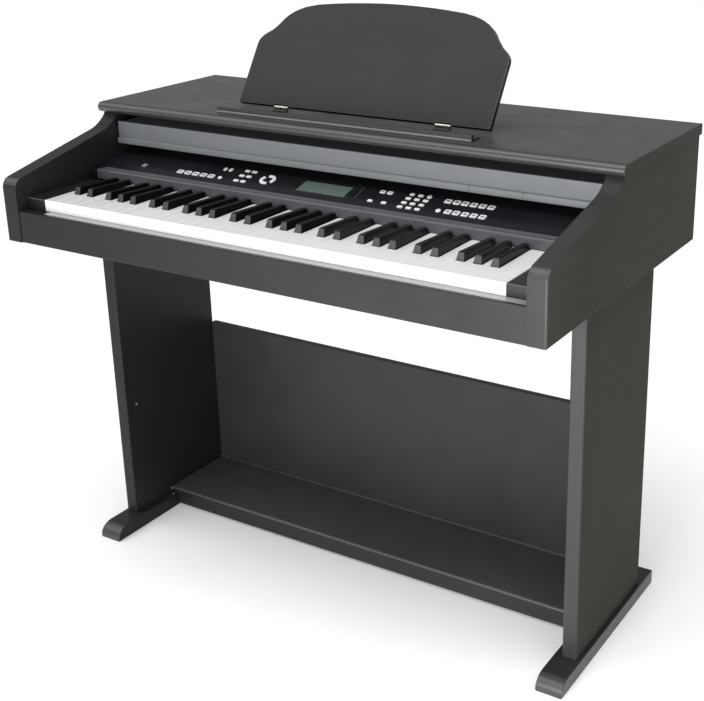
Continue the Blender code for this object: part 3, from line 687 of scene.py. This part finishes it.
for o in range(5):
    if o == MID:
        for i in range(7):
            n = "key_%s%d" % (WN[i], o + 2)
            put(n + "_look", finish_mesh(white_bm(o, i), n), 'white', node=n)
        for j in range(5):
            put_black("key_%s%d" % (BN[j], o + 2), black_bm(o, j))
    else:
        n = "keys_cegb%d" % (o + 2)
        ks = [white_bm(o, i) for i in (0, 2, 4, 6)]
        if o == 4:
            ks.append(white_bm(5, 0, True))
        put(n + "_look", finish_mesh(merge(ks), n), 'white', node=n)
        n = "keys_dfa%d" % (o + 2)
        put(n + "_look", finish_mesh(merge([white_bm(o, i) for i in (1, 3, 5)]), n), 'white',
            node=n)
        put_black("keys_sharp%d" % (o + 2), merge([black_bm(o, j) for j in range(5)]))

# ------------------------------------------------------------------ control panel
PANEL_Y, PANEL_Z, PT_A = 0.1925, 0.7032, math.radians(15.0)
PT = Matrix.Translation((0, PANEL_Y - YC, PANEL_Z)) @ Matrix.Rotation(PT_A, 4, 'X')


def rect(cx, cy, w, h):
    return ("r", cx, cy, w, h)


def disc(cx, cy, d):
    return ("c", cx, cy, d)


def arc(cx, cy, r0, r1, a0, a1):
    return ("a", cx, cy, r0, r1, a0, a1)


BANK_X = (211.9, 226.8, 241.3, 256.1, 270.8, 285.6)
PAD_X = (145.6, 161.1, 176.5)
BUTTONS = {
    "button_power": [rect(-379.4, 21.5, 8.5, 9.0)],
    "button_bank_left": [rect(x, 19.3, 11.8, 9.7) for x in (-295.9, -279.1, -262.4, -245.6, -228.8)]
                        + [disc(-209.8, 18.8, 7.6), rect(-219.1, 47.1, 5.2, 8.5),
                           rect(-207.5, 47.1, 5.2, 8.5)],
    "button_bank_pairs": [rect(x, y, 9.6, 5.6) for x in (-174.9, -160.4) for y in (17.8, 34.6, 51.2)],
    "button_ring": [arc(-121.0, 34.1, 8.2, 14.2, a, a + 150.0) for a in (-36.0, 144.0)],
    "button_bank_display": [rect(89.0, 18.3, 8.4, 5.6), rect(114.0, 18.2, 8.4, 5.6),
                            rect(94.5, 48.5, 9.0, 7.6), rect(108.1, 48.5, 9.0, 7.6)],
    "button_keypad": [rect(x, y, 8.8, 5.6) for x in PAD_X for y in (14.1, 27.2, 40.4)]
                     + [rect(PAD_X[0], 53.2, 7.4, 6.0), rect(PAD_X[1], 53.2, 8.8, 5.6),
                        disc(PAD_X[2], 53.2, 8.4)],
    "button_bank_upper": [rect(x, 48.9, 11.0, 10.4) for x in BANK_X],
    "button_bank_lower": [disc(210.4, 19.3, 8.4)] + [rect(x, 19.9, 10.8, 10.4)
                                                     for x in BANK_X[1:]],
}
LCD = (-55.0, 40.2, 16.2, 51.0)


def shape_pts(sh, grow, n=24):
    if sh[0] == "r":
        _, cx, cy, w, h = sh
        a, b = w * MM / 2 + grow, h * MM / 2 + grow
        return [(cx * MM - a, cy * MM - b), (cx * MM + a, cy * MM - b),
                (cx * MM + a, cy * MM + b), (cx * MM - a, cy * MM + b)]
    if sh[0] == "c":
        _, cx, cy, d = sh
        r = d * MM / 2 + grow
        return [(cx * MM + r * math.cos(t * 2 * math.pi / n),
                 cy * MM + r * math.sin(t * 2 * math.pi / n)) for t in range(n)]
    _, cx, cy, r0, r1, a0, a1 = sh
    ra, rb = r0 * MM - grow, r1 * MM + grow
    da = grow / ((r0 + r1) / 2 * MM)
    a0, a1 = math.radians(a0) - da, math.radians(a1) + da
    k = 10
    ts = [a0 + (a1 - a0) * i / k for i in range(k + 1)]
    return [(cx * MM + rb * math.cos(t), cy * MM + rb * math.sin(t)) for t in ts] + \
           [(cx * MM + ra * math.cos(t), cy * MM + ra * math.sin(t)) for t in ts[::-1]]


holes = []
for n, shapes in BUTTONS.items():
    caps = []
    for sh in shapes:
        bm = poly_bm(shape_pts(sh, 0.0), -0.0036, 0.0016)
        if sh[0] != "r":
            bm.normal_update()
        else:
            corners = [e for e in bm.edges if abs(e.verts[0].co.z - e.verts[1].co.z) > 0.001]
            bmesh.ops.bevel(bm, geom=corners, offset=0.0010, offset_type='OFFSET', segments=3,
                            profile=0.5, affect='EDGES', clamp_overlap=True)
        rim = [e for e in bm.edges if all(v.co.z > 0.0015 for v in e.verts)
               and e.calc_face_angle(0.0) > 0.8]
        bmesh.ops.bevel(bm, geom=rim, offset=0.0009, offset_type='OFFSET', segments=3,
                        profile=0.6, affect='EDGES', clamp_overlap=True)
        if sh[0] == "r" and sh[3] > 8.5 and sh[4] > 7.0:
            bm.normal_update()
            top = max((f for f in bm.faces if f.normal.z > 0.9), key=lambda f: f.calc_area())
            r = bmesh.ops.inset_region(bm, faces=[top], thickness=0.0014, depth=-0.00025,
                                       use_even_offset=True)
            # The inset top of the larger caps gets a darker grey.
            top.material_index = 1
        caps.append(bm)
        holes.append(poly_bm(shape_pts(sh, 0.0004), -0.006, 0.004))
    bm = merge(caps)
    bmesh.ops.transform(bm, matrix=PT, verts=bm.verts)
    put(n + "_caps", finish_mesh(bm, n), 'powercap' if n == "button_power" else 'button', node=n,
        extra=('cap_inset_grey',))
    xs = [p[0] for sh in shapes for p in shape_pts(sh, 0.0)]
    ys = [p[1] for sh in shapes for p in shape_pts(sh, 0.0)]
    bm = box_bm(min(xs) - 0.0012, max(xs) + 0.0012, min(ys) - 0.0012, max(ys) + 0.0012,
                -0.0042, -0.0034)
    bevel(bm, 0.0003, 1)
    bmesh.ops.transform(bm, matrix=PT, verts=bm.verts)
    put(n + "_carrier", finish_mesh(bm, n + "_carrier"), 'carrier', body=BODY[n])

holes.append(box_bm(LCD[0] * MM - 0.0004, LCD[1] * MM + 0.0004, LCD[2] * MM - 0.0004,
                    LCD[3] * MM + 0.0004, -0.006, 0.004))
hm = merge(holes)
bmesh.ops.transform(hm, matrix=PT, verts=hm.verts)
hole_me = bpy.data.meshes.new("holes")
hm.to_mesh(hole_me)
hm.free()
T15 = math.tan(PT_A)
REAR, PLATE_T = 0.2740, 0.0025
rim = [(0.1691 - 0.0026 * math.cos(math.radians(a)), 0.7025 + 0.0026 * math.sin(math.radians(a)))
       for a in range(0, 86, 12)]
casing_pts = [(0.1665, 0.6890)] + rim + [
    (PANEL_Y, PANEL_Z), (REAR, PANEL_Z + (REAR - PANEL_Y) * T15), (REAR, 0.6334),
    (REAR - PLATE_T, 0.6334), (REAR - PLATE_T, PANEL_Z - 0.00259 + (REAR - PLATE_T - PANEL_Y) * T15),
    (PANEL_Y + 0.0006, PANEL_Z - 0.00243), (0.1702, 0.7022), (0.1690, 0.7010), (0.1690, 0.6890)]
cb = side_bm(casing_pts, -0.4626, 0.4626)
cme = bpy.data.meshes.new("casing")
for x in (-0.4470, 0.4470):
    bmesh.ops.bisect_plane(cb, geom=cb.verts[:] + cb.edges[:] + cb.faces[:], plane_co=(x, 0, 0),
                           plane_no=(1, 0, 0))
cb.to_mesh(cme)
cb.free()
cme = boolean_mesh(cme, hole_me)
cme.materials.clear()
cme.materials.append(M['gloss'])
cme.materials.append(M['lip'])
for p in cme.polygons:
    band = p.center.y < PANEL_Y - YC - 0.0002 and p.normal.y < 0.9 and abs(p.center.x) < 0.4470
    p.material_index = 1 if band else 0
    p.use_smooth = True
cme.set_sharp_from_angle(angle=math.radians(30))
put("panel_casing_look", cme, None, node="panel_casing")

# display window: dark bezel, recessed glass
bz = []
x0, x1, y0, y1 = [v * MM for v in LCD]
outer = poly_bm([(x0, y0), (x1, y0), (x1, y1), (x0, y1)], -0.0052, -0.0003)
bevel(outer, 0.0003, 1)
bmesh.ops.transform(outer, matrix=PT, verts=outer.verts)
ob = put("display_window_look", finish_mesh(outer, "display"), 'lcd', node="display_module")
w = 0.0016
for k, (a, b, c, d) in enumerate(((x0, x1, y0, y0 + w), (x0, x1, y1 - w, y1), (x0, x0 + w, y0 + w, y1 - w),
                                  (x1 - w, x1, y0 + w, y1 - w))):
    bz.append(box_bm(a, b, c, d, -0.0004, -0.00005))
for a, b in (((0.0424, 0.0585), (0.0563, 0.0541)), ((0.0563, 0.0541), (0.0587, 0.0179))):
    d = Vector((b[0] - a[0], b[1] - a[1], 0)).normalized() * 0.0003
    n2 = Vector((-d.y, d.x, 0))
    q = [(a[0] - n2.x, a[1] - n2.y), (b[0] - n2.x, b[1] - n2.y), (b[0] + n2.x, b[1] + n2.y),
         (a[0] + n2.x, a[1] + n2.y)]
    lb = poly_bm(q, 0.00002, 0.00012)
    bmesh.ops.transform(lb, matrix=PT, verts=lb.verts)
    put("display_line_%d" % (1 if a[0] < 0.05 else 2), finish_mesh(lb, "display_line"), 'line',
        body="cabinet")
bm = merge([box_bm(x1, 0.0478, y0 - 0.0010, y1 + 0.0012, 0.00002, 0.00010),
            box_bm(x0 - 0.0030, x1, y0 - 0.0022, y0, 0.00002, 0.00010)])
bmesh.ops.transform(bm, matrix=PT, verts=bm.verts)
put("display_margin", finish_mesh(bm, "display_margin"), 'margin', body="cabinet")
bm = merge(bz)
bmesh.ops.transform(bm, matrix=PT, verts=bm.verts)
put("display_bezel", finish_mesh(bm, "display_bezel"), 'bezel', body="cabinet")

# light strip on the rail's top, in front of the keys
bm = box_bm(KEY_X0 + 0.0120, 0.4630, 0.0070 - YC, 0.0219 - YC, 0.66855, 0.66905)
bevel(bm, 0.0001, 1)
put("rail_strip", finish_mesh(bm, "rail_strip"), 'strip', body="cabinet")

# fixing caps on the inner faces of the legs, screws, grilles
def disc_piece(name, r, h, loc, rot, mat, steps=24):
    bm = lathe_bm([(0, h), (r * 0.82, h), (r * 0.97, h * 0.45), (r, 0.0), (0, 0.0)], steps, loc, rot)
    put(name, finish_mesh(bm, name), mat, body="cabinet")


for s, nm in ((-1, "left"), (1, "right")):
    rot = Matrix.Rotation(math.radians(-90 * s), 4, 'Y')
    disc_piece("leg_cap_" + nm, 0.0025, 0.0007, (s * 0.4470, 0.2056 - YC, 0.2442), rot, 'cap')
FRONT = Matrix.Rotation(math.radians(90), 4, 'X')
REARR = Matrix.Rotation(math.radians(-90), 4, 'X')
disc_piece("shelf_stud_upper", 0.0022, 0.0007, (-0.4435, 0.2758 - YC, 0.0352), FRONT, 'cap',
           16)
disc_piece("foot_stud_left", 0.0026, 0.0006, (-0.4395, 0.2745 - YC, 0.0247), Matrix.Identity(4),
           'cap', 16)
k = 0
for z in (0.6230, 0.7800):
    for x in (-0.4400, -0.2640, -0.0880, 0.0880, 0.2640, 0.4400):
        disc_piece("back_screw_%d" % k, 0.0034, 0.0005, (x, 0.5474 - YC, z), REARR, 'steel',
                   16)
        k += 1
for s, nm in ((-1, "left"), (1, "right")):
    rings = []
    for r in (0.006, 0.0135, 0.021, 0.0285, 0.036, 0.0425):
        rings.append(lathe_bm([(r - 0.0010, 0.0), (r + 0.0010, 0.0), (r + 0.0010, 0.0014),
                               (r - 0.0010, 0.0014), (r - 0.0010, 0.0)], 40,
                              (s * 0.3000, 0.4150 - YC, 0.6165)))
    for q in range(4):
        bm = box_bm(-0.0434, 0.0434, -0.0010, 0.0010, 0.0014, 0.0026)
        bmesh.ops.transform(bm, matrix=Matrix.Translation((s * 0.3000, 0.4150 - YC, 0.6165))
                            @ Matrix.Rotation(math.radians(45 * q + 22.5), 4, 'Z'), verts=bm.verts)
        rings.append(bm)
    bm = merge(rings)
    put("speaker_grille_" + nm, finish_mesh(bm, "grille"), 'frame', body="cabinet")
bm = lathe_bm([(0, 0.0), (0.0006, 0.0), (0.0010, -0.0006), (0.0010, -0.0100), (0, -0.0100)], 16,
              (0.3500, 0.5430 - YC, 0.6580), REARR)
put("power_inlet_pin", finish_mesh(bm, "power_inlet_pin"), 'steel', body="cabinet")

# ------------------------------------------------------------------ studio
bm = bmesh.new()
bmesh.ops.create_grid(bm, x_segments=1, y_segments=1, size=40.0)
fme = bpy.data.meshes.new("floor")
bm.to_mesh(fme)
bm.free()
floor = bpy.data.objects.new("floor", fme)
scene.collection.objects.link(floor)
fm, nt, b = nodes_of("floor_pale")
n1 = noise(nt, coords(nt, (1, 1, 1)), 3.0, 3.0)
link(nt, ramp(nt, n1, "Fac", [(0.3, (0.90, 0.90, 0.90)), (0.7, (0.93, 0.93, 0.93))]), "Color", b,
     "Base Color")
b.inputs["Roughness"].default_value = 0.6
b.inputs["Emission Color"].default_value = (1.0, 1.0, 1.0, 1)
b.inputs["Emission Strength"].default_value = 0.10
fme.materials.append(fm)

world = bpy.data.worlds.new("studio")
scene.world = world
world.use_nodes = True
bg = world.node_tree.nodes["Background"]
bg.inputs["Color"].default_value = (1.0, 1.0, 1.0, 1)
bg.inputs["Strength"].default_value = 0.42


def aim(ob, loc, target):
    ob.location = loc
    ob.rotation_euler = (Vector(target) - Vector(loc)).to_track_quat('-Z', 'Y').to_euler()


def area(name, loc, target, size, power, colour=(1, 1, 1)):
    li = bpy.data.lights.new(name, 'AREA')
    li.shape = 'RECTANGLE'
    li.size, li.size_y = size
    li.energy = power
    li.color = colour
    ob = bpy.data.objects.new(name, li)
    scene.collection.objects.link(ob)
    aim(ob, loc, target)
    return ob


def sun(name, strength, angle, away):
    li = bpy.data.lights.new(name, 'SUN')
    li.energy = strength
    li.angle = math.radians(angle)
    ob = bpy.data.objects.new(name, li)
    scene.collection.objects.link(ob)
    aim(ob, tuple(4 * v for v in away), (0, 0, 0))


sun("overhead", 1.8, 60, (0.1, -0.2, 1.0))
sun("upper_left", 0.5, 40, (-0.55, -0.30, 0.75))
area("front_right", (0.44, -1.30, 0.66), (0.44, 0, 0.42), (0.5, 0.5), 9)
area("front_low", (0.36, -1.35, 0.27), (0.46, -0.1, 0.22), (0.4, 0.3), 5.5)
area("front_left", (-0.60, -2.40, 0.80), (0.0, 0, 0.6), (1.4, 1.0), 8.5)
